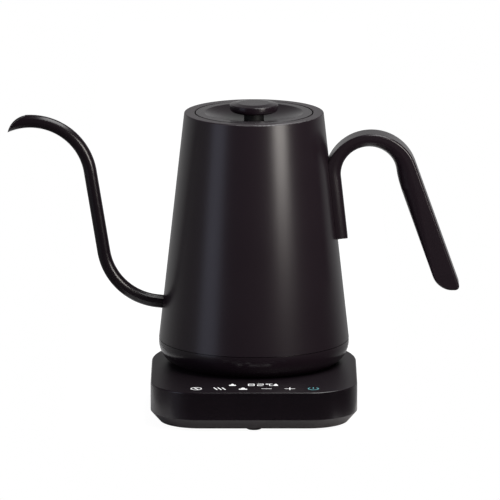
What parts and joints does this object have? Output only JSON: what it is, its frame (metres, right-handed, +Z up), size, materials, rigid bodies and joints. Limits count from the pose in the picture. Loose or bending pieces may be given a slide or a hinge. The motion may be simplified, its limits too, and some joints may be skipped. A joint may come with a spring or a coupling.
{
  "type": "electric kettle",
  "caption": "Gooseneck electric kettle with a hook handle and lift-out lid, standing on a D-shaped power base with lit touch keys and a temperature display.",
  "frame": {"origin": "below the middle of the outline box, on the surface that the feet stand on", "axes": "+Z up, -Y the front with the touch keys, -X the side of the spout, +X the side of the handle"},
  "size_m": [0.2976, 0.1678, 0.2005],
  "materials": {
    "vessel_paint": "satin black powder coat on stainless steel",
    "body_plastic": "satin black moulded plastic",
    "tray_plastic": "fine-textured dark grey moulded plastic",
    "foot_rubber": "matte black rubber",
    "seal_silicone": "grey silicone",
    "bright_steel": "brushed stainless steel",
    "screw_steel": "plated steel",
    "heater_aluminium": "die-cast aluminium",
    "contact_brass": "bare brass",
    "dock_plastic": "black heat-resistant plastic",
    "board_laminate": "green printed-circuit laminate",
    "component_plastic": "dark moulded component cases",
    "guide_plastic": "milky light-carrying plastic",
    "lead_insulation": "grey wire insulation"
  },
  "bodies": {
    "base": {"base_housing": "body_plastic", "base_tray": "tray_plastic", "feet": "foot_rubber", "base_screws": "screw_steel", "base_connector": "dock_plastic", "base_contacts": "contact_brass", "connector_screws": "screw_steel", "control_board": "board_laminate", "light_guide": "guide_plastic", "display_module": "component_plastic", "touch_pads": "seal_silicone", "power_board": "board_laminate", "power_relay": "component_plastic", "filter_capacitor": "component_plastic", "buzzer": "component_plastic", "base_leads": "lead_insulation", "ribbon_cable": "lead_insulation", "cord_gland": "foot_rubber"},
    "dock_plug": {"plug_housing": "dock_plastic", "plug_pin": "contact_brass", "plug_ring": "contact_brass"},
    "kettle": {"vessel_shell": "vessel_paint", "spout": "vessel_paint", "bottom_cover": "body_plastic", "bottom_screws": "screw_steel", "plug_carrier": "dock_plastic", "carrier_screws": "screw_steel", "element_plate": "bright_steel", "heat_spreader": "heater_aluminium", "heating_element": "heater_aluminium", "temperature_sensor": "bright_steel", "thermal_cutouts": "component_plastic", "heater_leads": "lead_insulation", "handle_grip": "body_plastic", "handle_bracket": "bright_steel", "handle_screws": "screw_steel", "handle_cover": "body_plastic"},
    "lid": {"lid_cover": "body_plastic", "lid_plug": "bright_steel", "lid_seal": "seal_silicone", "knob_stem": "body_plastic", "lid_knob": "body_plastic", "knob_screw": "screw_steel"}
  },
  "joints": [
    {"name": "kettle_lift", "type": "slide", "parent": "base", "child": "dock_plug", "axis": [0, 0, 1], "range_m": [0, 0.12]},
    {"name": "kettle_swivel", "type": "hinge", "parent": "dock_plug", "child": "kettle", "pos_m": [0.01335, 0.0143, 0.0392], "axis": [0, 0, 1], "continuous": true},
    {"name": "lid_lift", "type": "slide", "parent": "kettle", "child": "lid", "axis": [0, 0, 1], "range_m": [0, 0.09]}
  ]
}
